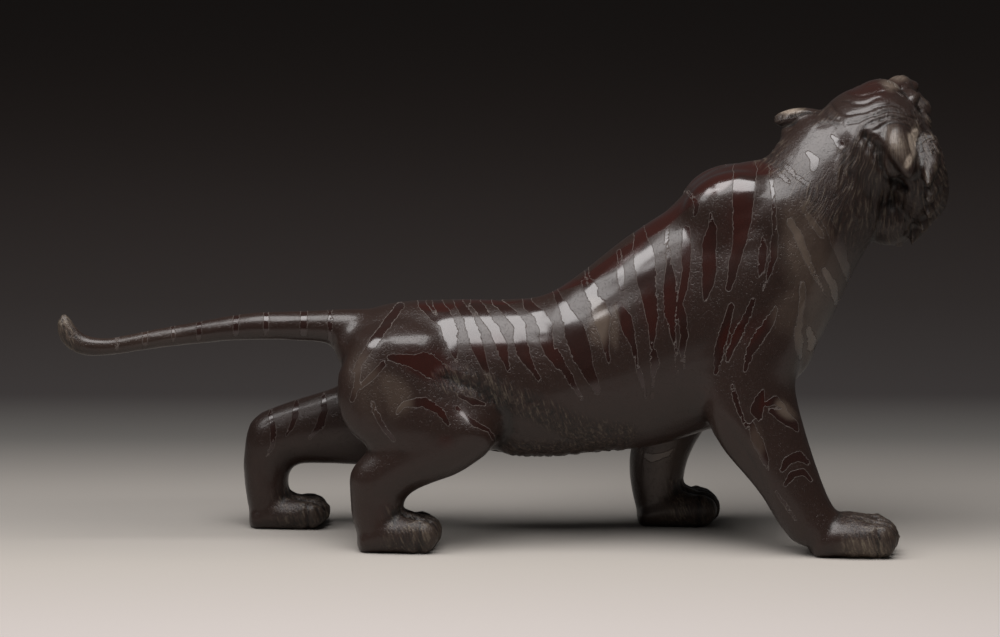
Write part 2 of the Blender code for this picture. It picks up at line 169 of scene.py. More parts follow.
LEG_STRIPES: tuple[Stroke, ...] = (
    ((763, 389, 2), (760, 399, 10), (757, 410, 13), (759, 418, 6)),
    ((767, 404, 5), (775, 400, 9), (783, 407, 6)),
    ((771, 411, 5), (782, 415, 13), (793, 424, 9), (797, 430, 3)),
    ((752, 425, 6), (757, 440, 12), (764, 456, 9), (768, 470, 3)),
    ((782, 470, 5), (788, 460, 9), (798, 456, 9), (808, 463, 4)),
    ((785, 485, 4), (793, 474, 7), (803, 472, 7), (811, 480, 3)),
    ((776, 492, 2), (786, 506, 4), (796, 520, 2)),
    ((733, 385, 3), (736, 400, 5), (742, 418, 4), (748, 430, 2)),
)

# Rings round the tail: where each crosses the tail's middle line, and its width.
TAIL_RINGS = ((330, 5), (304, 7), (266, 5), (236, 6), (199, 5), (173, 4), (145, 5), (117, 4))
TAIL_ROWS = (290, 365)

# Stripes of the two far legs, which stand elsewhere than the near ones.
FAR_LEG_STRIPES: tuple[Stroke, ...] = (
    ((652, 420, 3), (660, 426, 9), (676, 428, 10), (690, 424, 4)),
    ((646, 445, 4), (660, 450, 8), (676, 446, 7), (686, 440, 3)),
    ((640, 470, 3), (652, 474, 7), (668, 470, 6), (676, 464, 2)),
    ((318, 410, 3), (322, 424, 8), (318, 440, 8), (308, 452, 3)),
    ((290, 414, 3), (292, 428, 7), (288, 440, 6), (282, 448, 2)),
    ((262, 426, 3), (268, 440, 7), (268, 456, 6), (262, 468, 2)),
)

# Face stripes in the head's front view: the way out from the middle, the height above the centre, the width.
FACE_STRIPES: tuple[Stroke, ...] = (
    ((0, 22, 2.2), (0, 27, 1.2)),
    ((2.5, 19, 0.6), (5.5, 21.5, 2.2), (10, 22, 2.4), (14, 20, 0.8)),
    ((2.0, 16, 0.6), (5.5, 17.6, 2), (9, 17.6, 2), (12, 16, 0.6)),
    ((17, 12, 0.7), (20, 10, 2.2), (23, 6, 2.2), (25, 1, 0.7)),
    ((16.5, 2, 0.6), (19.5, -1, 2.2), (22, -6, 2.4), (23, -11, 0.8)),
    ((16, -6, 0.6), (18, -10, 2), (19.5, -15, 2.4), (19, -20, 0.8)),
    ((25, -6, 0.7), (29, -12, 2.4), (31, -18, 2.4), (31, -23, 0.8)),
    ((16, -22, 0.7), (21, -25, 2.4), (26, -29, 0.8)),
)

# Places of the warmer patina, and among the tan ones of some painted light: pixel column, row, half width,
# half height, lean in degrees, and strength. Red shows most on the polished stripes and faintly between them.
# Well over 1, red polishes the whole skin, and tan lets bare bronze through.
RED_PLACES = (
    (612, 262, 46, 9, -36, 1.9), (668, 217, 44, 9, -32, 1.9), (712, 182, 24, 13, -24, 1.9),
    (745, 166, 30, 8, 0, 1.9), (440, 301, 100, 5, 0, 1.7), (560, 291, 34, 6, -18, 1.9),
    (650, 312, 12, 30, -4, 1.1), (630, 322, 9, 22, -10, 0.9), (670, 304, 10, 32, 0, 1.2),
    (684, 278, 12, 38, 0, 1.0), (710, 256, 16, 40, 0, 1.0), (738, 222, 20, 44, 6, 1.1),
    (765, 254, 14, 32, 0, 0.7), (757, 330, 12, 26, 30, 1.1), (733, 334, 12, 24, 26, 1.1),
    (700, 240, 26, 24, -10, 0.9),
    (430, 366, 40, 20, 24, 1.35), (444, 408, 32, 11, 14, 1.0), (490, 350, 40, 18, 6, 1.0),
    (545, 350, 40, 20, 20, 0.8), (762, 403, 9, 13, 10, 1.1),
    (383, 508, 9, 22, 8, 0.9), (600, 340, 14, 26, -10, 0.5),
    (868, 92, 34, 12, -6, 1.25), (448, 444, 10, 9, 0, 1.2),
)
TAN_PLACES = (
    # Chest places (812, 262), (806, 312), (806, 340), (800, 250), (786, 250): tan patina, partly painted
    # light.
    (366, 384, 22, 44, -8, 0.5), (394, 394, 16, 26, -20, 0.75), (812, 262, 34, 66, -16, 0.85),
    (806, 312, 34, 36, 0, 0.7),
    (786, 414, 13, 9, 25, 1.0), (757, 440, 9, 22, -14, 0.5), (806, 340, 12, 30, 0, 0.9),
    (130, 341, 90, 14, 0, 0.4), (66, 328, 14, 24, 0, 1.0), (895, 82, 12, 7, 0, 1.2),
    # (897, 140): the right ear's worn pale back, partly a painted highlight; the next two are its worn gold
    # rim.
    (897, 140, 11, 20, -14, 1.2), (912, 141, 4, 16, -6, 2.0), (907, 159, 5, 11, 14, 1.9),
    # (672, 497): painted light, lightening the far foreleg where it stands in shade.
    (672, 497, 26, 56, 0, 0.7), (800, 250, 18, 46, -14, 0.95),
    # (790, 113): a painted highlight on the top of the left ear.
    (790, 113, 17, 8, 0, 1.7),
    # (600, 322) and (618, 325): painted reflection, a pale sheen on polished stripes of the flank.
    (866, 546, 24, 12, 0, 1.1), (885, 532, 14, 10, 0, 0.4), (600, 322, 13, 24, -8, 0.9),
    (786, 250, 12, 30, 0, 0.5), (418, 535, 20, 12, 0, 0.6), (618, 325, 7, 22, -8, 0.9),
)

# Rough hair on the far cheek and over the ear: the same measures.
ROUGH_PLACES = (
    (936, 172, 30, 56, 8, 1.0), (928, 116, 20, 24, 0, 1.0), (900, 214, 36, 22, -10, 0.9),
    (884, 118, 34, 9, -6, 0.5),
)

# Where the skin stands fuller or flatter than the solid: the same measures, and the height in millimetres.
SWELLINGS = (
    (742, 205, 54, 34, -8, 4.4), (748, 468, 10, 46, -28, -2.2), (600, 300, 40, 16, -20, -0.8),
    (914, 91, 10, 9, 0, 1.6),
)

# Locks of the mane behind the near ear, from root to tip.
MANE_LOCKS: tuple[Stroke, ...] = (
    ((862, 128, 5), (856, 140, 6), (850, 158, 5), (846, 178, 1)),
    ((868, 134, 5), (861, 148, 6), (856, 166, 5), (853, 190, 1)),
    ((873, 142, 5), (867, 158, 6), (863, 178, 5), (860, 204, 1)),
    ((877, 156, 5), (873, 172, 6), (869, 190, 5), (866, 216, 1)),
    ((882, 172, 5), (879, 188, 6), (876, 204, 5), (875, 226, 1)),
    ((889, 184, 5), (887, 200, 6), (884, 216, 5), (885, 234, 1)),
    ((898, 180, 5), (898, 198, 6), (895, 214, 5), (892, 236, 1)),
    ((908, 176, 5), (908, 194, 6), (904, 212, 5), (898, 232, 1)),
    ((917, 172, 5), (919, 190, 6), (916, 206, 5), (907, 226, 1)),
    ((926, 172, 5), (930, 188, 6), (927, 204, 5), (918, 220, 1)),
    ((916, 132, 5), (926, 146, 6), (934, 162, 5), (939, 182, 1)),
    ((921, 124, 5), (933, 138, 6), (942, 156, 5), (947, 178, 1)),
    ((924, 112, 5), (936, 126, 6), (946, 144, 5), (952, 164, 1)),
    ((930, 152, 5), (938, 166, 6), (942, 182, 5), (941, 200, 1)),
    ((852, 190, 4), (853, 202, 5), (855, 214, 4), (860, 228, 1)),
    ((843, 150, 4), (840, 164, 5), (838, 178, 4), (838, 196, 1)),
    ((836, 116, 4), (826, 111, 5), (819, 107, 4), (810, 107, 1)),
    ((838, 122, 4), (828, 119, 5), (820, 120, 4), (812, 126, 1)),
)

# Where the mane's hair fans out from, half the number of strands in a radian, and a strand's length in
# pixels.
FAN_CENTRE = (890, 58)
FAN_STRANDS = 34.0
FAN_LENGTH = 16.0

# How far below the head's centre the line lies that the hair turns round, in millimetres.
HAIR_AXIS_DROP = 4

# The tufted part of the flank: how far it reaches along the body and how high, in millimetres.
FLANK_REACH = (-20, 70)
FLANK_HEIGHTS = (30, 82)

# Wrinkles pressed into the crown, and arcs of hair over the near ear.
CROWN_LINES: tuple[Stroke, ...] = (
    ((841, 92, 1), (850, 95, 2), (859, 96, 2), (872, 94, 2), (883, 91, 1)),
    ((843, 100, 1), (852, 104, 2), (862, 104, 2), (871, 101, 2), (880, 98, 1)),
    ((830, 103, 1), (838, 110, 2), (846, 114, 2), (861, 112, 2), (874, 108, 2), (889, 104, 2),
     (903, 109, 1)),
    ((846, 122, 1), (858, 122, 2), (872, 116, 2), (888, 111, 2), (904, 112, 2), (915, 119, 1)),
    ((862, 128, 1), (876, 122, 2), (890, 117, 2), (906, 119, 2), (918, 127, 1)),
    ((874, 131, 1), (886, 124, 2), (900, 122, 2), (913, 128, 1)),
    ((868, 86, 1), (878, 84, 2), (888, 86, 1)),
    ((890, 80, 1), (898, 78, 2), (907, 82, 2), (912, 90, 1)),
    ((894, 90, 1), (905, 94, 2), (914, 102, 2), (920, 112, 1)),
    ((852, 87, 1), (860, 84, 2), (870, 80, 1)),
)

# The deep hollow behind the near ear, and the fold in front of the near thigh.
EAR_HOLLOW: Stroke = ((866, 136, 8), (876, 148, 15), (886, 164, 15), (896, 180, 11), (905, 188, 4))
THIGH_FOLD: Stroke = (
    (446, 375, 1), (462, 384, 4), (482, 391, 6), (499, 402, 8), (508, 417, 8), (509, 432, 7), (502, 446, 4),
    (493, 455, 1),
)

# The band of rough tufts under the flank, with the length and width of a tuft, all in pixels.
FRINGE_LINE = (
    (446, 380), (470, 382), (488, 387), (511, 397), (533, 407), (550, 415), (570, 425), (592, 434),
    (624, 436),
)
BELLY_LINE = ((510, 448), (535, 449), (568, 447), (600, 442), (632, 436))
TUFT_LENGTH = 9.0
TUFT_WIDTH = 3.2
TUFT_STEP = 0.9

# Paws: the back of the heel in x and y, then length, width and height.
PAWS = (
    ((-71, -26.5), 42.5, 29, 17),
    ((-125, 27), 42.5, 29, 14),
    ((138, -36), 44.5, 32, 17.5),
    ((61, 32), 42.5, 31, 17),
)

# Clefts between the toes, as shares of the paw's half width.
TOE_CLEFTS = (-0.5, 0.0, 0.5)

# Ears in the head's own measures: the middle of the base, the middle of the tip, and half the width.
EARS = (
    ((-6, 22, 12.5), (-16, 39, 15.3), 8.5),
    ((-7, -22, 12), (-20, -30.6, -2.1), 7.5),
)

# The ears' forms: root and tip, half the width, the way that the hollow faces, and how far it is rounded out.
EAR_FORMS = (
    ((-6, 22, 12.5), (-16.1, 39, 15.3), 8.5, (-0.85, 0.1, -0.5), 1.0),
    ((-7, -22, 12), (-20, -30.6, -2.1), 8.5, (-0.25, 0.7, -0.64), 0.0),
)

# Cuts of the face in the head's front view: a stroke, the softness of its edge, and its depth.
FACE_CUTS = (
    (((6.4, 1.6, 0.3), (8.4, 5.6, 0.6), (11.6, 7.6, 0.6), (15.2, 6.6, 0.3)), 1.2, 1.1),
    (((6.4, 1.6, 0.3), (9.2, 0.8, 0.5), (12.6, 2.2, 0.5), (15.2, 6.6, 0.3)), 1.2, 0.9),
    (((10.9, 4.3, 1.8), (11.0, 4.3, 1.8)), 0.8, 0.7),
    (((1.8, 0.2, 0.8), (3.8, 1.2, 1.5), (5.4, 3.2, 0.6)), 1.0, 1.4),
    (((0, -2.8, 0.6), (2.8, -1.6, 0.6), (6.0, 1.2, 0.4), (6.8, 5.2, 0.3)), 1.2, 0.8),
    (((0, -2.8, 0.6), (0, -10.6, 0.6)), 1.2, 1.0),
    (((0, -10.6, 0.9), (4, -12.4, 1.1), (9, -12.8, 1.1), (13.6, -10.8, 0.9), (16.6, -7, 0.4)), 1.4, 1.7),
    (((5, 11.5, 0.3), (9, 14.4, 0.6), (14, 13.6, 0.3)), 1.4, 0.6),
    (((1.2, 9.5, 0.3), (1.6, 14, 0.5), (1.0, 18, 0.3)), 1.2, 0.5),
    (((6.5, -3.6, 0.4), (6.6, -3.6, 0.4)), 0.7, 0.5),
    (((9.5, -3.9, 0.4), (9.6, -3.9, 0.4)), 0.7, 0.5),
    (((12.4, -4.0, 0.4), (12.5, -4.0, 0.4)), 0.7, 0.5),
    (((6.0, -6.8, 0.4), (6.1, -6.8, 0.4)), 0.7, 0.5),
    (((9.2, -7.3, 0.4), (9.3, -7.3, 0.4)), 0.7, 0.5),
    (((12.4, -7.2, 0.4), (12.5, -7.2, 0.4)), 0.7, 0.5),
)


@dataclass(frozen=True)
class PhotoView:
    """The photograph's camera, worked out from the figure's outline and the rows of its soles."""

    distance: float = 1800.0
    elevation: float = math.radians(9)
    aim: Point = (-2.3, 0.0, 102.9)
    width_at_aim: float = 1000 / 2.14

    @property
    def away(self) -> np.ndarray:
        """The way from the aim to the camera."""
        return np.array((0, -math.cos(self.elevation), math.sin(self.elevation)))

    @property
    def up(self) -> np.ndarray:
        """The picture's upward way."""
        return np.array((0, math.sin(self.elevation), math.cos(self.elevation)))

    @property
    def lens(self) -> float:
        """The lens's length in millimetres for the sensor's width."""
        return SENSOR * self.distance / self.width_at_aim

    def pixels(self, points: np.ndarray) -> np.ndarray:
        """Where points show in the picture.

        Args:
            points: Rows of x, y and z in the figure's measures.

        Returns:
            Rows of pixel column and row.
        """
        offset = points - np.array(self.aim)
        depth = self.distance - offset @ self.away
        scale = self.lens / SENSOR * PICTURE_WIDTH / depth
        column = PICTURE_WIDTH / 2 + offset[:, 0] * scale
        row = PICTURE_HEIGHT / 2 - (offset @ self.up) * scale
        return np.stack([column, row], axis=1)

    def add_camera(self, origin: np.ndarray) -> bpy.types.Object:
        """Adds the camera.

        Args:
            origin: Where the figure's own origin lies in the frame, in millimetres.

        Returns:
            The camera object.
        """
        data = bpy.data.cameras.new("photo_camera")
        data.sensor_width = SENSOR
        data.lens = self.lens
        data.clip_end = 50
        camera = bpy.data.objects.new("photo_camera", data)
        place = np.array(self.aim) + origin + self.away * self.distance
        camera.location = Vector(place * MM)
        camera.rotation_euler = (math.pi / 2 - self.elevation, 0, 0)
        bpy.context.scene.collection.objects.link(camera)
        bpy.context.scene.camera = camera
        return camera


@dataclass(frozen=True)
class HeadPose:
    """How the head is held: its own x axis runs to the nose, y to the left ear and z to the crown."""

    centre: Point = (169, 12, 185)
    turn: float = 54
    lift: float = 29
    roll: float = 7
    magnify: float = 0.8
    magnify_reach: float = 70.0
    magnify_end: float = 600.0

    @property
    def axes(self) -> np.ndarray:
        """The head's three ways as columns."""
        turn = Matrix.Rotation(math.radians(self.turn), 3, "Z")
        lift = Matrix.Rotation(math.radians(-self.lift), 3, "Y")
        roll = Matrix.Rotation(math.radians(self.roll), 3, "X")
        return np.array(turn @ lift @ roll)

    def magnified(self, points: np.ndarray) -> np.ndarray:
        """The figure with its head enlarged, so that an even mesh is finer there."""
        offset = points - np.array(self.centre)
        away = np.linalg.norm(offset, axis=1)
        return np.array(self.centre) + offset * self._gain(away)[:, None]

    def shrunk_back(self, points: np.ndarray) -> np.ndarray:
        """The figure at its true size again, from its magnified form."""
        known = np.linspace(0, self.magnify_end, 4000)
        offset = points - np.array(self.centre)
        away = np.linalg.norm(offset, axis=1)
        true = np.interp(away, known * self._gain(known), known)
        return np.array(self.centre) + offset * (true / np.maximum(away, 1e-9))[:, None]

    def _gain(self, away: np.ndarray) -> np.ndarray:
        """How much larger the magnified form is at a distance from the head's centre."""
        return 1 + self.magnify * np.exp(-((away / self.magnify_reach) ** 2))

    def inside(self, points: np.ndarray) -> np.ndarray:
        """Points of the figure in the head's own measures."""
        return (points - np.array(self.centre)) @ self.axes

    def ways(self, normals: np.ndarray) -> np.ndarray:
        """Directions of the figure along the head's own axes."""
        return normals @ self.axes


def smooth_step(values: np.ndarray, low: float, high: float) -> np.ndarray:
    """A soft step from 0 at low to 1 at high."""
    share = np.clip((values - low) / (high - low), 0, 1)
    return share * share * (3 - 2 * share)


def cloud(points: np.ndarray, size: float, seed: int) -> np.ndarray:
    """Smooth random values over space.

    Args:
        points: Rows of x, y and z.
        size: The width of one cell, in the points' unit.
        seed: Which pattern to give.

    Returns:
        Values from -1 to 1.
    """
    spread = points / size
    corner = np.floor(spread).astype(np.int64)
    part = spread - corner
    part = part * part * (3 - 2 * part)
    total = np.zeros(len(points))
    for step in np.ndindex(2, 2, 2):
        cell = corner + np.array(step)
        mixed = (cell[:, 0] * 73856093) ^ (cell[:, 1] * 19349663) ^ (cell[:, 2] * 83492791)
        mixed ^= seed * 2654435
        mixed = (mixed ^ (mixed >> 13)) * 1274126177
        value = ((mixed ^ (mixed >> 16)) & 0xFFFF) / 0x7FFF - 1
        share = np.where(np.array(step), part, 1 - part).prod(axis=1)
        total += value * share
    return total


def ridges(phase: np.ndarray) -> np.ndarray:
    """Rounded ridges with sharp valleys, one for each whole number of the phase, from 0 to 1."""
    return np.abs(np.sin(math.pi * phase))


def stroke_distance(places: np.ndarray, stroke: Stroke) -> np.ndarray:
    """How far each place lies from a stroke's edge.

    Args:
        places: Rows of two coordinates.
        stroke: Points with a full width each.

    Returns:
        Distances, negative inside the stroke.
    """
    best = np.full(len(places), np.inf)
    for first, last in zip(stroke, stroke[1:]):
        start = np.array(first[:2], float)
        run = np.array(last[:2], float) - start
        share = np.clip((places - start) @ run / (run @ run), 0, 1)
        away = np.linalg.norm(places - start - share[:, None] * run, axis=1)
        best = np.minimum(best, away - (first[2] + share * (last[2] - first[2])) / 2)
    return best


def strokes_distance(places: np.ndarray, strokes: tuple[Stroke, ...], reach: float) -> np.ndarray:
    """The distance to the nearest of many strokes, cut off at a reach.

    Args:
        places: Rows of two coordinates.
        strokes: The strokes.
        reach: The largest distance that is told apart.

    Returns:
        Distances, negative inside a stroke.
    """
    found = np.full(len(places), reach)
    for stroke in strokes:
        line = np.array(stroke)
        margin = reach + line[:, 2].max() / 2
        near = (places > line[:, :2].min(axis=0) - margin).all(axis=1)
        near &= (places < line[:, :2].max(axis=0) + margin).all(axis=1)
        chosen = np.flatnonzero(near)
        found[chosen] = np.minimum(found[chosen], stroke_distance(places[chosen], stroke))
    return found


def lock_heights(places: np.ndarray, locks: tuple[Stroke, ...]) -> np.ndarray:
    """The round backs of locks of hair, with fine strands along them.

    Args:
        places: Rows of two coordinates.
        locks: Strokes from root to tip.

    Returns:
        Heights from 0 to 1.
    """
    heights = np.zeros(len(places))
    for lock in locks:
        for first, last in zip(lock, lock[1:]):
            start = np.array(first[:2], float)
            run = np.array(last[:2], float) - start
            share = (places - start) @ run / (run @ run)
            side = ((places - start) @ np.array((-run[1], run[0]))) / np.linalg.norm(run)
            half = (first[2] + np.clip(share, 0, 1) * (last[2] - first[2])) / 2
            across = side / half
            inside = (np.abs(across) < 1) & (share > -0.15) & (share < 1.05)
            back = np.sqrt(np.clip(1 - across**2, 0, 1))
            strands = 0.78 + 0.22 * ridges(across * 2.2)
            heights = np.where(inside, np.maximum(heights, back * strands), heights)
    return heights


class Skin:
    """A closed mesh whose points are moved as arrays, in the figure's own millimetres."""

    def __init__(self, mesh: bpy.types.Mesh, origin: np.ndarray) -> None:
        """Takes a mesh in metres.

        Args:
            mesh: The mesh, which is changed.
            origin: Where the figure's own origin lies in the frame, in millimetres.
        """
        self.mesh = mesh
        self.origin = origin
        self.points = self._read("vertices", "co") / MM - origin

    def _read(self, what: str, name: str) -> np.ndarray:
        """Rows of three numbers from a layer of the mesh."""
        layer = getattr(self.mesh, what)
        values = np.empty(len(layer) * 3)
        layer.foreach_get(name, values)
        return values.reshape(-1, 3)

    @property
    def normals(self) -> np.ndarray:
        """The outward way at each point."""
        self.store()
        return self._read("vertex_normals", "vector")

    def store(self) -> None:
        """Writes the moved points to the mesh."""
        places = ((self.points + self.origin) * MM).astype(np.float32)
        self.mesh.vertices.foreach_set("co", np.ascontiguousarray(places).ravel())
        self.mesh.update()

    def apply_modifier(self, kind: str, settings: dict[str, object]) -> None:
        """Replaces the mesh by what one modifier makes of it.

        Args:
            kind: The modifier's type.
            settings: Its settings.
        """
        self.store()
        helper = bpy.data.objects.new("helper", self.mesh)
        bpy.context.scene.collection.objects.link(helper)
        modifier = helper.modifiers.new(kind, kind)
        for name, value in settings.items():
            setattr(modifier, name, value)
        graph = bpy.context.evaluated_depsgraph_get()
        mesh = bpy.data.meshes.new_from_object(helper.evaluated_get(graph))
        bpy.data.objects.remove(helper)
        self.mesh = mesh
        self.points = self._read("vertices", "co") / MM - self.origin

    def neighbours(self) -> tuple[np.ndarray, np.ndarray, np.ndarray]:
        """The neighbours of every point as one list, with each point's start in it and its count."""
        edges = np.empty(len(self.mesh.edges) * 2, dtype=np.int64)
        self.mesh.edges.foreach_get("vertices", edges)
        edges = edges.reshape(-1, 2)
        ends = np.concatenate([edges, edges[:, ::-1]])
        ends = ends[np.argsort(ends[:, 0], kind="stable")]
        count = np.bincount(ends[:, 0], minlength=len(self.points))
        starts = np.concatenate([[0], np.cumsum(count)[:-1]])
        return ends[:, 1], starts, count

    def relax(self, rounds: int, pull: float, push: float) -> None:
        """Smooths small facets and keeps the volume.

        Args:
            rounds: How often to pull and push.
            pull: The share of the way to the middle of the neighbours.
            push: The share of the way back, a little more than the pull.
        """
        near, starts, count = self.neighbours()
        for _ in range(rounds):
            for share in (pull, -push):
                middle = np.add.reduceat(self.points[near], starts, axis=0) / count[:, None]
                self.points += share * (middle - self.points)

    def raise_by(self, heights: np.ndarray) -> None:
        """Moves each point outward by a height."""
        self.points += self.normals * heights[:, None]

    def hollows(self, rounds: int) -> np.ndarray:
        """How far each point lies below the smoothed skin, in millimetres; ridges are negative."""
        near, starts, count = self.neighbours()
        soft = self.points.copy()
        for _ in range(rounds):
            soft = np.add.reduceat(soft[near], starts, axis=0) / count[:, None] * 0.5 + soft * 0.5
        return np.einsum("ij,ij->i", soft - self.points, self.normals)

    def write(self, attribute: Attribute, values: np.ndarray) -> None:
        """Stores a number or a vector for each point."""
        wide = values.ndim == 2
        layer = self.mesh.attributes.new(attribute.value, "FLOAT_VECTOR" if wide else "FLOAT", "POINT")
        flat = np.ascontiguousarray(values, np.float32).ravel()
        layer.data.foreach_set("vector" if wide else "value", flat)


class Value:
    """A number that varies over a surface, held as the socket that gives it."""

    def __init__(self, sheet: "Sheet", socket: bpy.types.NodeSocket) -> None:
        """Wraps a socket.

        Args:
            sheet: The material that the socket belongs to.
            socket: The output that gives the number.
        """
        self.sheet = sheet
        self.socket = socket

    def _maths(self, operation: str, first: object, second: object) -> "Value":
        """A Math node on two numbers."""
        node = self.sheet.node("ShaderNodeMath", {"operation": operation}, {0: first, 1: second})
        return Value(self.sheet, node.outputs[0])

    def __add__(self, other: object) -> "Value":
        """The sum."""
        return self._maths("ADD", self, other)

    def __radd__(self, other: object) -> "Value":
        """The sum, with the number first."""
        return self._maths("ADD", other, self)

    def __sub__(self, other: object) -> "Value":
        """The difference."""
        return self._maths("SUBTRACT", self, other)

    def __rsub__(self, other: object) -> "Value":
        """The difference, with the number first."""
        return self._maths("SUBTRACT", other, self)

    def __mul__(self, other: object) -> "Value":
        """The product."""
        return self._maths("MULTIPLY", self, other)

    def __rmul__(self, other: object) -> "Value":
        """The product, with the number first."""
        return self._maths("MULTIPLY", other, self)

    def __abs__(self) -> "Value":
        """The number without its sign."""
        return self._maths("ABSOLUTE", self, 0.0)

    def step(self, low: float, high: float) -> "Value":
        """A soft step from 0 at low to 1 at high, or down from 1 where low is the larger."""
        up = low < high
        sockets = {
            "Value": self,
            "From Min": min(low, high),
            "From Max": max(low, high),
            "To Min": 0.0 if up else 1.0,
            "To Max": 1.0 if up else 0.0,
        }
        node = self.sheet.node("ShaderNodeMapRange", {"interpolation_type": "SMOOTHSTEP"}, sockets)
        return Value(self.sheet, node.outputs["Result"])


class Sheet:
    """A node material under construction."""

    def __init__(self, name: str) -> None:
        """Starts a material with only its output."""
        self.material = bpy.data.materials.new(name)
        self.material.use_nodes = True
        self.tree = self.material.node_tree
        self.tree.nodes.clear()

    def node(self, kind: str, settings: dict[str, object], sockets: dict[object, object]) -> bpy.types.Node:
        """Adds a node.

        Args:
            kind: The node's type.
            settings: Its settings, set first. The name stops gives a ramp its positions and colours.
            sockets: Numbers, colours or links for its inputs, by name, identifier or place.

        Returns:
            The node.
        """
        node = self.tree.nodes.new(kind)
        for name, value in settings.items():
            if name == "stops":
                self._set_stops(node.color_ramp, value)
            else:
                setattr(node, name, value)
        for key, value in sockets.items():
            socket = self._input(node, key)
            if isinstance(value, Value):
                self.tree.links.new(value.socket, socket)
            elif isinstance(value, bpy.types.NodeSocket):
                self.tree.links.new(value, socket)
            else:
                socket.default_value = value
        return node

    @staticmethod
    def _set_stops(ramp: bpy.types.ColorRamp, stops: tuple[tuple[float, Colour], ...]) -> None:
        """Gives a ramp its stops."""
        while len(ramp.elements) < len(stops):
            ramp.elements.new(1.0)
        for element, (position, colour) in zip(ramp.elements, stops):
            element.position = position
            element.color = (*colour, 1)

    @staticmethod
    def _input(node: bpy.types.Node, key: object) -> bpy.types.NodeSocket:
        """An input by place, identifier or name."""
        if isinstance(key, int):
            return node.inputs[key]
        for socket in node.inputs:
            if socket.identifier == key:
                return socket
        return node.inputs[key]

    def attribute(self, attribute: Attribute) -> Value:
        """A number stored on the mesh."""
        node = self.node("ShaderNodeAttribute", {"attribute_name": attribute.value}, {})
        return Value(self, node.outputs["Fac"])

    def mixed(self, share: object, first: object, second: object, kind: str = "MIX") -> bpy.types.NodeSocket:
        """A colour between two others.

        Args:
            share: How much of the second is taken.
            first: A colour or a socket.
            second: A colour or a socket.
            kind: The way of blending.

        Returns:
            The socket with the colour.
        """
        sockets = {"Factor_Float": share, "A_Color": self._colour(first), "B_Color": self._colour(second)}
        node = self.node("ShaderNodeMix", {"data_type": "RGBA", "blend_type": kind}, sockets)
        return next(socket for socket in node.outputs if socket.identifier == "Result_Color")

    @staticmethod
    def _colour(value: object) -> object:
        """A colour with its alpha, or the socket as it is."""
        return (*value, 1.0) if isinstance(value, tuple) else value

    def noise(
        self, place: bpy.types.NodeSocket, scale: float, detail: float, roughness: float = 0.5
    ) -> Value:
        """Cloudy noise from 0 to 1.

        Args:
            place: The socket with the place.
            scale: Cells in a metre, or in one unit of the place.
            detail: How many finer layers are added.
            roughness: How strong they are.

        Returns:
            The noise.
        """
        sockets = {"Vector": place, "Scale": scale, "Detail": detail, "Roughness": roughness}
        return Value(self, self.node("ShaderNodeTexNoise", {}, sockets).outputs["Fac"])


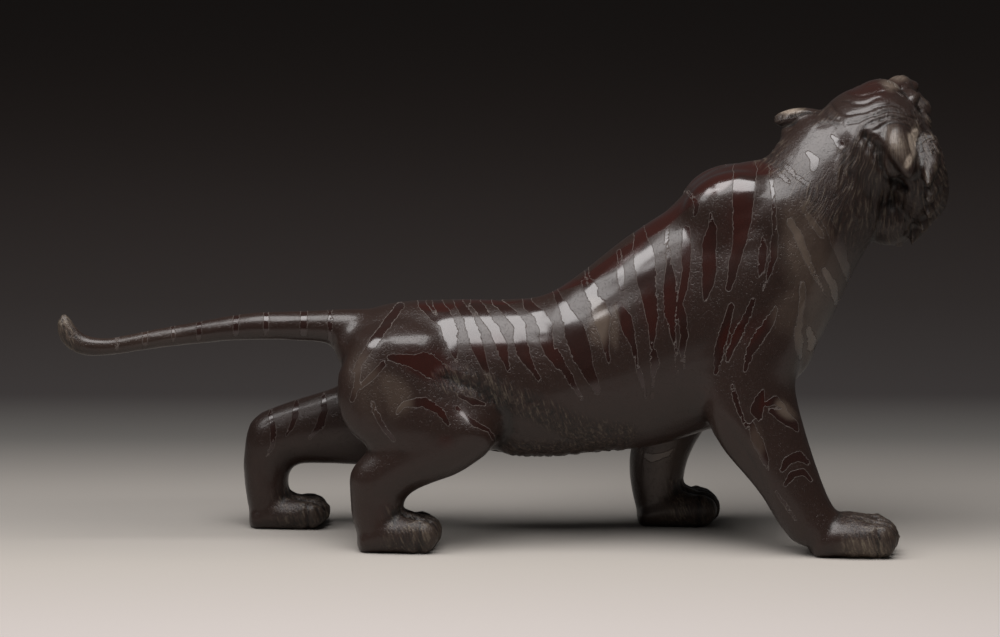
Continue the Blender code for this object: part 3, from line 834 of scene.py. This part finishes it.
@dataclass(frozen=True)
class Patina:
    """The bronze's finish: a matte pitted ground and polished stripes with engraved outlines."""

    ground: Colour = (0.023, 0.0118, 0.0088)
    polish: Colour = (0.021, 0.0085, 0.0066)
    red: Colour = (0.030, 0.0074, 0.0052)
    # tan: the lighter patina, which some tan places also use as painted light and painted highlight.
    tan: Colour = (0.072, 0.050, 0.038)
    groove: Colour = (0.080, 0.062, 0.054)
    worn: Colour = (0.130, 0.104, 0.076)
    bare: Colour = (0.300, 0.240, 0.190)
    deep: Colour = (0.008, 0.006, 0.005)
    ground_roughness: float = 0.34
    polish_roughness: float = 0.20
    groove_roughness: float = 0.65
    hair_roughness: float = 0.46
    metallic: float = 0.15
    groove_metallic: float = 0.0
    ior: float = 1.43
    ground_coat: float = 0.30
    polish_coat: float = 0.68
    coat_roughness: float = 0.14
    coat_ior: float = 1.6
    line_width: float = 0.20
    wobble_size: float = 6.0
    wobble_depth: float = 0.8
    jag_size: float = 1.5
    jag_depth: float = 0.6
    edge_softness: float = 0.12
    broad_cells: float = 32.0
    mottle_cells: float = 210.0
    pit_cells: float = 900.0
    pit_depth: float = 0.08
    line_depth: float = 0.16
    strand_depth: float = 0.5
    mottle_depth: float = 0.08
    hair_dulling: float = 0.7
    low_coat: float = 0.35
    handled_from: float = 0.05
    handled_to: float = 0.13

    def material(self) -> bpy.types.Material:
        """Builds the patina's nodes.

        Returns:
            The material.
        """
        sheet = Sheet(SLOT)
        place = sheet.node("ShaderNodeTexCoord", {}, {}).outputs["Object"]
        stripe = sheet.attribute(Attribute.STRIPE)
        red = sheet.attribute(Attribute.RED)
        tan = sheet.attribute(Attribute.TAN)
        hair = sheet.attribute(Attribute.HAIR)
        cavity = sheet.attribute(Attribute.CAVITY)

        jag = sheet.noise(place, 1 / (self.jag_size * MM), 1.0) - 0.5
        wobble = sheet.noise(place, 1 / (self.wobble_size * MM), 1.0) - 0.5
        rough_spots = sheet.noise(place, 1 / (self.wobble_size * 2 * MM), 0.0).step(0.42, 0.62)
        edge = stripe + wobble * (2 * self.wobble_depth) + jag * (0.5 + rough_spots) * (2 * self.jag_depth)
        inside = edge.step(self.edge_softness, -self.edge_softness)
        line = abs(edge).step(self.line_width, self.line_width * 0.4)
        smooth = inside * (1 - hair)

        broad = sheet.noise(place, self.broad_cells, 3.0)
        fine = sheet.noise(place, self.pit_cells, 2.0, 0.7)
        mottle = sheet.noise(place, self.mottle_cells, 3.0, 0.6)
        patchy = red * (0.6 + 0.8 * broad)
        glaze = patchy.step(0.95, 1.7)
        smooth = smooth + glaze * (1 - smooth)
        warm = patchy.step(0.3, 1.3) * (0.30 + smooth * 0.70)
        pale = (tan * (0.7 + 0.6 * broad)).step(0.1, 1.1)
        strand_place = sheet.node("ShaderNodeAttribute", {"attribute_name": Attribute.STRAND.value}, {})
        strands = sheet.noise(strand_place.outputs["Vector"], 1.0, 3.0, 0.6)

        colour = sheet.mixed(smooth, self.ground, self.polish)
        colour = sheet.mixed(warm, colour, self.red)
        # Tan patina, and where TAN_PLACES mark it, painted light and painted highlight.
        colour = sheet.mixed(pale * 0.85, colour, self.tan)
        colour = sheet.mixed(pale * inside * 0.2, colour, self.bare)
        colour = sheet.mixed((mottle - 0.35) * 0.5, colour, self.deep)
        bright_line = line * (1 - hair * 0.6) * (0.4 + broad.step(0.30, 0.68) * 0.6)
        colour = sheet.mixed(bright_line, colour, self.groove)
        # Darker in the mesh's hollows: dark patina residue, partly painted shade in creases.
        colour = sheet.mixed(cavity.step(0.02, 0.22) * 0.7, colour, self.deep)
        colour = sheet.mixed(cavity.step(-0.08, -0.35) * hair * 0.15, colour, self.worn)
        colour = sheet.mixed(strands.step(0.50, 0.36) * hair * 0.7, colour, self.deep)
        colour = sheet.mixed(strands.step(0.52, 0.66) * hair * (0.42 + pale * 0.58), colour, self.worn)
        colour = sheet.mixed(tan.step(0.9, 2.0) * (fine * 1.6), colour, self.bare)

        roughness = self.ground_roughness + (fine - 0.5) * 0.16
        roughness = roughness + hair * (self.hair_roughness - self.ground_roughness)
        roughness = roughness + smooth * (self.polish_roughness - self.ground_roughness)
        roughness = roughness + line * (self.groove_roughness - self.polish_roughness)
        metallic = self.metallic - line * (self.metallic - self.groove_metallic)
        handled = Value(sheet, sheet.node("ShaderNodeSeparateXYZ", {}, {"Vector": place}).outputs["Z"])
        coat = self.ground_coat + smooth * (self.polish_coat - self.ground_coat)
        coat = coat * (1 - line) * (1 - hair * self.hair_dulling)
        coat = coat * (self.low_coat + handled.step(self.handled_from, self.handled_to) * (1 - self.low_coat))

        pits = fine.step(0.28, 0.50) * (1 - smooth) + smooth
        height = pits * self.pit_depth - line * self.line_depth + strands * hair * self.strand_depth
        height = height + (mottle - 0.5) * (1 - smooth) * self.mottle_depth
        bump = sheet.node("ShaderNodeBump", {}, {"Strength": 1.0, "Distance": MM, "Height": height})
        sockets = {
            "Base Color": colour,
            "Roughness": roughness,
            "Metallic": metallic,
            "Coat Weight": coat,
            "IOR": self.ior,
            "Coat Roughness": self.coat_roughness,
            "Coat IOR": self.coat_ior,
            "Normal": bump.outputs["Normal"],
        }
        shader = sheet.node("ShaderNodeBsdfPrincipled", {}, sockets)
        sheet.node("ShaderNodeOutputMaterial", {}, {"Surface": shader.outputs[0]})
        return sheet.material


@dataclass
class Tiger:
    """The bronze casting, with its carving and its patina."""

    view: PhotoView
    head: HeadPose
    origin: np.ndarray
    voxel: float = 1.43
    relax_rounds: int = 12
    head_reach: float = 62.0
    stripe_reach: float = 8.0
    ear_thickness: float = 6.5
    ear_fullest: float = 0.35
    ear_outside: float = 0.68
    ear_inside: float = 0.65
    ear_taper: float = 0.5
    ear_dome: float = 5.0
    ear_drop: float = 1.5
    hair_ridges: float = 13.0
    hair_depth: float = 0.24
    under_hair_depth: float = 0.2
    lock_depth: float = 0.4
    wrinkle_depth: float = 0.4
    rough_depth: float = 0.6
    hollow_depth: float = 3.0
    tuft_depth: float = 0.55
    fold_depth: float = 1.6
    cleft_depth: float = 1.9
    toe_hair_depth: float = 0.45
    toe_bend_depth: float = 1.1
    pixel: float = 1 / 2.14

    def build(self, node: bpy.types.Object) -> bpy.types.Object:
        """Makes the carved and dressed casting.

        Args:
            node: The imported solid, which isn't changed.

        Returns:
            The piece.
        """
        skin = Skin(node.data.copy(), self.origin)
        skin.apply_modifier("WELD", {"merge_threshold": 0.00001})
        skin.points = self.head.magnified(skin.points)
        skin.apply_modifier("REMESH", {"mode": "VOXEL", "voxel_size": self.voxel * MM, "adaptivity": 0.0})
        skin.points = self.head.shrunk_back(skin.points)
        skin.relax(self.relax_rounds, 0.5, 0.51)
        LOG.info("skin: %d points", len(skin.points))
        self.shape_ears(skin)
        self.carve_face(skin)
        self.carve_mane(skin)
        self.carve_flank(skin)
        self.carve_paws(skin)
        self.swell(skin)
        skin.points[:, 2] = np.maximum(skin.points[:, 2], FIGURE_LOW[2])
        self.paint(skin)
        skin.store()
        skin.mesh.shade_smooth()
        skin.mesh.materials.clear()
        skin.mesh.materials.append(Patina().material())
        piece = bpy.data.objects.new("tiger_bronze", skin.mesh)
        bpy.context.scene.collection.objects.link(piece)
        LOG.info("%s: %d triangles", piece.name, sum(len(face.vertices) - 2 for face in skin.mesh.polygons))
        return piece

    def side_pixels(self, points: np.ndarray) -> np.ndarray:
        """Where each point shows in the picture, and for the body's far side, where its near twin does."""
        near = points.copy()
        on_body = np.linalg.norm(points - np.array(self.head.centre), axis=1) > self.head_reach
        near[on_body, 1] = -np.abs(near[on_body, 1])
        return self.view.pixels(near)

    def shape_ears(self, skin: Skin) -> None:
        """Draws both ears out to a point, and rounds the left one's upper side."""
        local = self.head.inside(skin.points)
        for root, tip, wide, thick, filled in EAR_FORMS:
            run = np.array(tip) - np.array(root)
            length = np.linalg.norm(run)
            along = run / length
            facing = np.array(thick, float)
            facing -= along * (facing @ along)
            facing /= np.linalg.norm(facing)
            across = np.cross(facing, along)
            offset = local - np.array(root)
            s, t, q = offset @ along, offset @ across, offset @ facing
            up = s - length * self.ear_fullest
            reach = (up / (length * self.ear_outside)) ** 2 + (t / wide) ** 2
            reach = np.sqrt(reach + (q / self.ear_thickness) ** 2)
            weight = smooth_step(reach, 1.3, 1.0)
            narrow = t * weight * self.ear_taper * smooth_step(s, length * 0.3, length)
            inner = (up / (length * self.ear_inside)) ** 2 + (t / wide) ** 2
            dome = self.ear_dome * np.sqrt(np.clip(1 - inner, 0, 1))
            rise = filled * smooth_step(reach, 1.1, 0.9) * (q > -1) * np.maximum(dome - q, 0)
            lift = -self.ear_drop * (1 - filled) * weight * smooth_step(s, length * 0.4, length)
            local = local - narrow[:, None] * across + (rise + lift)[:, None] * facing
        skin.points = np.array(self.head.centre) + local @ self.head.axes.T

    def carve_face(self, skin: Skin) -> None:
        """Eyelids, pupils, nostrils, mouth, whisker rows and brow wrinkles."""
        local = self.head.inside(skin.points)
        facing = self.head.ways(skin.normals)[:, 0]
        front = (np.linalg.norm(local, axis=1) < self.head_reach) & (local[:, 0] > 14) & (facing > 0.05)
        chosen = np.flatnonzero(front)
        places = np.stack([np.abs(local[chosen, 1]), local[chosen, 2]], axis=1)
        heights = np.zeros(len(skin.points))
        for stroke, width, depth in FACE_CUTS:
            distance = stroke_distance(places, stroke)
            heights[chosen] -= depth * smooth_step(-distance, -width, 0.3)
        fade = smooth_step(facing[chosen], 0.05, 0.35)
        heights[chosen] *= fade
        skin.raise_by(heights)

    def carve_mane(self, skin: Skin) -> None:
        """Hair over cheeks and neck, with locks, tangles and the crown's wrinkles where the camera looks."""
        local = self.head.inside(skin.points)
        radius = np.hypot(local[:, 1], local[:, 2] + HAIR_AXIS_DROP)
        angle = np.arctan2(local[:, 1], local[:, 2] + HAIR_AXIS_DROP)
        swirl = cloud(local, 16.0, 3) * 0.9 + cloud(local, 6.0, 4) * 0.35
        phase = angle * self.hair_ridges + swirl + local[:, 0] * 0.02
        mask = self.mane_mask(skin.points)
        depth = 0.7 + 0.3 * cloud(local, 9.0, 5)
        strands = (ridges(phase) - 0.6) * self.hair_depth
        strands += (ridges(phase * 1.7 + swirl * 2) - 0.6) * self.under_hair_depth
        heights = strands * depth * mask * smooth_step(radius, 6, 20)
        pixels = self.view.pixels(skin.points)
        seen = smooth_step(skin.normals @ self.view.away, 0.0, 0.3)
        seen *= smooth_step(skin.points[:, 2], 110, 135)
        warped = pixels + 2.0 * np.stack([cloud(local, 5.0, 6), cloud(local, 5.0, 7)], axis=1)
        heights += seen * lock_heights(warped, MANE_LOCKS) * self.ear_free(local) * self.lock_depth
        wrinkles = strokes_distance(warped, CROWN_LINES, 4.0)
        heights -= seen * smooth_step(-wrinkles, -1.4, 0.5) * self.wrinkle_depth
        fan = self.fan_turn(pixels) * 0.5 + cloud(local, 7.0, 9)
        rough = self.patches(pixels, ROUGH_PLACES) * self.ear_free(local)
        tangle = ridges(fan) + ridges(fan * 1.9 + 0.3) - 1.2
        heights += seen * rough * tangle * self.rough_depth * (0.5 + cloud(local, 4.0, 10))
        hollow = stroke_distance(pixels, EAR_HOLLOW)
        heights -= seen * smooth_step(-hollow, -5, 5) * self.ear_free(local) * self.hollow_depth
        skin.raise_by(heights)

    @staticmethod
    def fan_turn(pixels: np.ndarray) -> np.ndarray:
        """Which strand of the hanging mane each place of the picture lies on."""
        offset = pixels - np.array(FAN_CENTRE)
        return np.arctan2(offset[:, 0], offset[:, 1]) * FAN_STRANDS * 2

    def mane_mask(self, points: np.ndarray) -> np.ndarray:
        """Where long hair grows: cheeks, ruff and the back of the jaw, but not the face or the crown."""
        local = self.head.inside(points)
        near_head = smooth_step(np.linalg.norm(local, axis=1), self.head_reach, self.head_reach - 14)
        behind_face = smooth_step(local[:, 0], 16, 6)
        low = smooth_step(local[:, 2] - np.abs(local[:, 1]) * 0.35, 12, 0)
        return near_head * behind_face * low * self.ear_free(local)

    @staticmethod
    def ear_free(local: np.ndarray) -> np.ndarray:
        """1 away from the ears and 0 on them, for points in the head's own measures."""
        free = np.ones(len(local))
        for root, tip, radius in EARS:
            run = np.array(tip, float) - np.array(root)
            share = np.clip((local - np.array(root)) @ run / (run @ run), 0, 1)
            away = np.linalg.norm(local - np.array(root) - share[:, None] * run, axis=1)
            free = np.minimum(free, smooth_step(away, radius, radius + 3))
        return free

    def swell(self, skin: Skin) -> None:
        """Makes a few places fuller or flatter than the solid."""
        pixels = self.side_pixels(skin.points)
        for *place, height in SWELLINGS:
            skin.raise_by(height * self.patches(pixels, ((*place, 1.0),)))

    def tufts(self) -> tuple[Stroke, ...]:
        """The rough tufts under the flank and along the belly, as strokes."""
        chance = np.random.default_rng(7)
        found = []
        for line, length in ((FRINGE_LINE, TUFT_LENGTH), (BELLY_LINE, TUFT_LENGTH * 0.6)):
            line = np.array(line, float)
            along = np.concatenate([[0], np.cumsum(np.linalg.norm(np.diff(line, axis=0), axis=1))])
            for place in np.arange(0, along[-1], TUFT_STEP):
                x = np.interp(place, along, line[:, 0]) + chance.normal(0, 2.5)
                y = np.interp(place, along, line[:, 1]) + chance.normal(0, 4.5)
                reach = length * chance.uniform(0.5, 1.2)
                lean = chance.normal(1.5, 2.2)
                width = TUFT_WIDTH * chance.uniform(0.6, 1.2)
                middle = (x + lean * 0.4, y + reach * 0.5, width * 0.8)
                found.append(((x, y, width), middle, (x + lean, y + reach, 0.8)))
        return tuple(found)

    def carve_flank(self, skin: Skin) -> None:
        """The tufts from the thigh's fold to the belly and along it, and the fold itself."""
        points = skin.points
        level = (points[:, 2] > FLANK_HEIGHTS[0]) & (points[:, 2] < FLANK_HEIGHTS[1])
        along = (points[:, 0] > FLANK_REACH[0]) & (points[:, 0] < FLANK_REACH[1])
        chosen = np.flatnonzero(along & level)
        pixels = self.side_pixels(points[chosen])
        pixels += 1.2 * np.stack([cloud(points[chosen], 3.0, 11), cloud(points[chosen], 3.0, 12)], axis=1)
        heights = np.zeros(len(points))
        heights[chosen] = self.tuft_depth * lock_heights(pixels, self.tufts())
        near = np.flatnonzero((points[:, 1] < 0) & level)
        fold = stroke_distance(self.view.pixels(points[near]), THIGH_FOLD)
        heights[near] -= self.fold_depth * smooth_step(-fold, -9, 4)
        skin.raise_by(heights)

    def carve_paws(self, skin: Skin) -> None:
        """Clefts between the toes, the toes' uneven hair, and a crease at each outer toe's bend."""
        heights = np.zeros(len(skin.points))
        for (x, y), length, width, height in PAWS:
            along = (skin.points[:, 0] - x) / length
            across = (skin.points[:, 1] - y) / (width / 2)
            near = (np.abs(across) < 1.3) & (along > 0.3) & (along < 1.2) & (skin.points[:, 2] < height + 3)
            chosen = np.flatnonzero(near)
            spread = across[chosen] / (0.5 + 0.5 * along[chosen])
            cleft = np.abs(spread[:, None] - np.array(TOE_CLEFTS)).min(axis=1) * width / 2
            front = smooth_step(along[chosen], 0.42, 0.68)
            heights[chosen] -= self.cleft_depth * front * smooth_step(cleft, 2.3, 0.2)
            tuft = cloud(skin.points[chosen] * np.array((1, 1, 0.4)), 3.4, 21)
            heights[chosen] += self.toe_hair_depth * tuft * smooth_step(along[chosen], 0.3, 0.5)
            side = np.abs(across[chosen]) > 0.75
            bend = np.abs(along[chosen] - 0.74) * length
            heights[chosen] -= self.toe_bend_depth * side * smooth_step(bend, 2.0, 0.2)
        skin.raise_by(heights)

    def paint(self, skin: Skin) -> None:
        """Stores on the mesh where stripes, warmer patina and some painted light, hair and hollows lie."""
        points = skin.points
        skin.write(Attribute.STRIPE, self.stripe_map(skin))
        pixels = self.side_pixels(points)
        pixels = pixels + 7 * np.stack([cloud(points, 14.0, 31), cloud(points, 14.0, 32)], axis=1)
        skin.write(Attribute.RED, self.patches(pixels, RED_PLACES))
        skin.write(Attribute.TAN, self.patches(pixels, TAN_PLACES))
        skin.write(Attribute.HAIR, self.hair_map(points))
        skin.write(Attribute.STRAND, self.strand_map(skin))
        skin.write(Attribute.CAVITY, skin.hollows(6))

    def stripe_map(self, skin: Skin) -> np.ndarray:
        """The distance to the nearest stripe's edge in millimetres, negative inside it."""
        points = skin.points
        reach = self.stripe_reach / self.pixel
        pixels = self.side_pixels(points)
        far = smooth_step(points[:, 1], 2, 14)
        pixels[:, 0] += far * 9 * cloud(points, 40.0, 41)
        pixels[:, 1] += far * 9 * cloud(points, 40.0, 42)
        rings = tuple(((x, TAIL_ROWS[0], w), (x, TAIL_ROWS[1], w)) for x, w in TAIL_RINGS)
        shared = RUMP_STRIPES + LOIN_STRIPES + FLANK_STRIPES + SHOULDER_STRIPES + CHEST_STRIPES + rings
        distance = strokes_distance(pixels, shared, reach)
        near_legs = strokes_distance(pixels, LEG_STRIPES, reach)
        far_legs = strokes_distance(pixels, FAR_LEG_STRIPES, reach)
        legs = np.where(points[:, 1] < 2, near_legs, far_legs)
        distance = np.minimum(distance, legs) * self.pixel
        below = smooth_step(skin.normals[:, 2], -0.45, -0.85) * (points[:, 2] > 30)
        distance = np.maximum(distance, -2 + 8 * below)
        local = self.head.inside(points)
        ways = self.head.ways(skin.normals)
        face = (np.linalg.norm(local, axis=1) < self.head_reach) & (ways[:, 0] > 0.35) & (local[:, 0] > 4)
        chosen = np.flatnonzero(face)
        places = np.stack([np.abs(local[chosen, 1]), local[chosen, 2]], axis=1)
        distance[chosen] = strokes_distance(places, FACE_STRIPES, self.stripe_reach)
        return distance

    @staticmethod
    def patches(pixels: np.ndarray, places: tuple) -> np.ndarray:
        """Soft patches of another patina.

        Args:
            pixels: Where the points show.
            places: Each patch's column, row, half width, half height, lean and strength.

        Returns:
            Strengths from 0 to about 1.
        """
        total = np.zeros(len(pixels))
        for column, row, wide, high, lean, strength in places:
            turn = math.radians(lean)
            offset = pixels - np.array((column, row))
            across = (offset[:, 0] * math.cos(turn) + offset[:, 1] * math.sin(turn)) / wide
            along = (offset[:, 1] * math.cos(turn) - offset[:, 0] * math.sin(turn)) / high
            total = np.maximum(total, strength * smooth_step(np.hypot(across, along), 1.5, 0.4))
        return total

    def hair_map(self, points: np.ndarray) -> np.ndarray:
        """Where the skin is carved as hair."""
        mask = self.mane_mask(points)
        pixels = self.side_pixels(points)
        fringe = tuple((*place, 26) for place in FRINGE_LINE)
        belly = tuple((*place, 14) for place in BELLY_LINE)
        for stroke in (fringe, belly):
            mask = np.maximum(mask, smooth_step(stroke_distance(pixels, stroke), 6, -5))
        mane = np.full(len(points), 60.0)
        for lock in MANE_LOCKS:
            mane = np.minimum(mane, stroke_distance(self.view.pixels(points), lock))
        mask = np.maximum(mask, smooth_step(mane, 4, -1) * smooth_step(points[:, 2], 105, 130) * 0.9)
        rough = self.patches(self.view.pixels(points), ROUGH_PLACES) * smooth_step(points[:, 2], 105, 130)
        ear_free = self.ear_free(self.head.inside(points))
        mask = np.maximum(mask, rough * ear_free)
        mask = np.maximum(mask, 0.6 * (1 - ear_free))
        for (x, y), length, width, height in PAWS:
            near = (np.abs(points[:, 1] - y) < width * 0.75) & (points[:, 2] < height + 4)
            toes = smooth_step(points[:, 0], x + length * 0.25, x + length * 0.5)
            toes *= points[:, 0] < x + length * 1.2
            mask = np.maximum(mask, near * toes * 0.9)
        return np.maximum(mask, smooth_step(points[:, 0], -194, -201))

    def strand_map(self, skin: Skin) -> np.ndarray:
        """Coordinates for fine strands: the first two run across the hair, the third along it."""
        points = skin.points
        local = self.head.inside(points)
        angle = np.arctan2(local[:, 1], local[:, 2] + HAIR_AXIS_DROP)
        mane = np.stack([angle * 45, np.zeros(len(points)), local[:, 0] * 0.12], axis=1)
        slant = points[:, 0] * 0.9 + points[:, 2] * 0.3
        coat = np.stack([slant, points[:, 1] * 0.9, points[:, 2] * 0.12], axis=1)
        away = np.linalg.norm(local, axis=1)
        on_head = smooth_step(away, self.head_reach + 4, self.head_reach - 4)[:, None]
        offset = self.view.pixels(points) - np.array(FAN_CENTRE)
        fan = self.fan_turn(self.view.pixels(points)) + 1.6 * cloud(local, 8.0, 8)
        seen = smooth_step(skin.normals @ self.view.away, -0.1, 0.1) * smooth_step(points[:, 2], 105, 125)
        hanging = np.stack([fan, np.zeros(len(points)), np.linalg.norm(offset, axis=1) / FAN_LENGTH], axis=1)
        plain = mane * on_head + coat * (1 - on_head)
        return hanging * seen[:, None] + plain * (1 - seen[:, None])


@dataclass
class Studio:
    """The floor, the softboxes and the camera."""

    floor_half: float = 6.0
    # Floor colours by y in metres: painted shade far in front and behind the figure, painted light far behind.
    painted_floor_light_and_shade: tuple[tuple[float, Colour], ...] = (
        (-0.62, (0.023, 0.021, 0.020)),
        (-0.42, (0.103, 0.094, 0.090)),
        (-0.29, (0.345, 0.310, 0.293)),
        (-0.195, (0.425, 0.383, 0.362)),
        (-0.06, (0.374, 0.339, 0.308)),
        (0.04, (0.265, 0.243, 0.223)),
        (0.125, (0.224, 0.205, 0.187)),
        (0.25, (0.095, 0.089, 0.083)),
        (0.38, (0.038, 0.033, 0.032)),
        (0.74, (0.039, 0.032, 0.030)),
        (1.26, (0.051, 0.040, 0.037)),
        (2.05, (0.062, 0.047, 0.042)),
        (3.4, (0.074, 0.058, 0.052)),
    )
    box_power: float = 17.0
    box_size: tuple[float, float] = (0.95, 0.85)
    box_place: Point = (0.09, -0.34, 1.05)
    box_aim: Point = (0.09, 0, 0.08)
    side_power: float = 9.0
    side_size: tuple[float, float] = (0.55, 0.8)
    side_place: Point = (-0.86, -0.30, 1.05)
    side_aim: Point = (-0.30, 0, 0.08)
    ambient: float = 0.05

    def build(self, view: PhotoView, origin: np.ndarray) -> None:
        """Adds floor, lights and camera.

        Args:
            view: The photograph's camera.
            origin: Where the figure's own origin lies in the frame, in millimetres.
        """
        self.add_floor()
        self.add_lamp("overhead_softbox", self.box_place, self.box_aim, self.box_size, self.box_power)
        self.add_lamp("side_softbox", self.side_place, self.side_aim, self.side_size, self.side_power)
        self.add_world()
        view.add_camera(origin)
        bpy.context.scene.view_settings.view_transform = "Standard"

    def add_floor(self) -> None:
        """The floor, pale just in front, with painted shade far in front and behind and painted light far
        behind.
        """
        half = self.floor_half
        mesh = bpy.data.meshes.new("studio_floor")
        corners = [(-half, -half, 0), (half, -half, 0), (half, half, 0), (-half, half, 0)]
        mesh.from_pydata(corners, [], [(0, 1, 2, 3)])
        floor = bpy.data.objects.new("studio_floor", mesh)
        bpy.context.scene.collection.objects.link(floor)
        floor.data.materials.append(self.floor_material())
        floor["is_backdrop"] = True

    def floor_material(self) -> bpy.types.Material:
        """Matte paper whose colour is painted light and shade, running from pale to dark with the distance."""
        sheet = Sheet("studio_paper_painted_light_and_shade")
        position = sheet.node("ShaderNodeNewGeometry", {}, {}).outputs["Position"]
        parts = sheet.node("ShaderNodeSeparateXYZ", {}, {"Vector": position})
        low, high = self.painted_floor_light_and_shade[0][0], self.painted_floor_light_and_shade[-1][0]
        share = (Value(sheet, parts.outputs["Y"]) - low) * (1 / (high - low))
        stops = tuple(((place - low) / (high - low), colour) for place, colour in self.painted_floor_light_and_shade)
        ramp = sheet.node("ShaderNodeValToRGB", {"stops": stops}, {"Fac": share})
        sockets = {"Base Color": ramp.outputs["Color"], "Roughness": 0.9, "Specular IOR Level": 0.1}
        shader = sheet.node("ShaderNodeBsdfPrincipled", {}, sockets)
        sheet.node("ShaderNodeOutputMaterial", {}, {"Surface": shader.outputs[0]})
        return sheet.material

    @staticmethod
    def add_lamp(name: str, place: Point, aim: Point, size: tuple[float, float], power: float) -> None:
        """Adds a rectangular softbox.

        Args:
            name: The lamp's name.
            place: Where it hangs, in metres.
            aim: What it points at.
            size: Its length and width.
            power: Its power in watts.
        """
        data = bpy.data.lights.new(name, "AREA")
        data.shape = "RECTANGLE"
        data.size, data.size_y = size
        data.energy = power
        lamp = bpy.data.objects.new(name, data)
        lamp.location = place
        lamp.rotation_euler = (Vector(aim) - Vector(place)).to_track_quat("-Z", "Y").to_euler()
        bpy.context.scene.collection.objects.link(lamp)

    def add_world(self) -> None:
        """Even grey light from all around."""
        world = bpy.data.worlds.new("studio_air")
        world.use_nodes = True
        background = world.node_tree.nodes["Background"]
        background.inputs["Color"].default_value = (self.ambient, self.ambient, self.ambient, 1)
        bpy.context.scene.world = world


def box_rows() -> list[list[float]]:
    """The low and high corners of everything that belongs to the object."""
    return [[float(number) for number in corner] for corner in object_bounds()]


def main() -> None:
    """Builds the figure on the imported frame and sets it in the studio."""
    logging.basicConfig(level=logging.INFO, format="%(name)s: %(message)s")
    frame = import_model()
    cad_box = box_rows()
    origin = np.array(cad_box[0]) / MM - FIGURE_LOW
    view = PhotoView()
    tiger = Tiger(view, HeadPose(), origin)
    piece = tiger.build(frame["nodes"][NODE])
    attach(piece, BODY)
    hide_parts(NODE)
    Studio().build(view, origin)
    LOG.info("sizes written")


if __name__ == "__main__":
    main()
